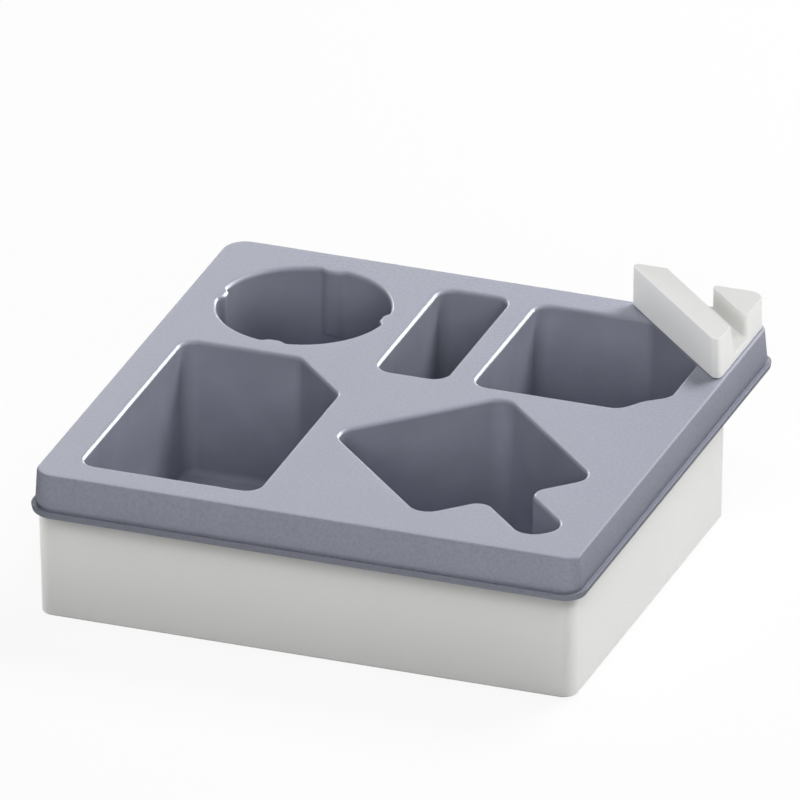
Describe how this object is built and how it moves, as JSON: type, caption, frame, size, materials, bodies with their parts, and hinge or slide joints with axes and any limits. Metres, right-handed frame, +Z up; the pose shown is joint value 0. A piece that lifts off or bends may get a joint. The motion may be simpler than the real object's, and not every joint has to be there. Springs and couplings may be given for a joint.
{
  "type": "sofa cup holder",
  "caption": "Square sofa caddy: a soft tray with pockets for a cup, a mug and its handle, a remote and snacks, set on an open box, with a plug-in phone stand at one corner.",
  "frame": {"origin": "centre of the footprint, on the surface that the feet stand on", "axes": "+Z up, +X to the right along the front, +Y to the rear"},
  "size_m": [0.3204, 0.3204, 0.1109],
  "materials": {
    "tray_silicone": "matte, fine moulded grain",
    "base_plastic": "satin moulded plastic",
    "stand_plastic": "matte moulded plastic",
    "foot_rubber": "matte non-slip rubber"
  },
  "bodies": {
    "base": {"base_box": "base_plastic", "foot_front_left": "foot_rubber", "foot_front_right": "foot_rubber", "foot_rear_left": "foot_rubber", "foot_rear_right": "foot_rubber"},
    "tray": {"tray": "tray_silicone"},
    "stand": {"phone_stand": "stand_plastic"}
  },
  "joints": [
    {"name": "tray_lift", "type": "slide", "parent": "base", "child": "tray", "axis": [0, 0, 1], "range_m": [0, 0.095]},
    {"name": "stand_lift", "type": "slide", "parent": "tray", "child": "stand", "axis": [0, 0, 1], "range_m": [0, 0.03]}
  ]
}
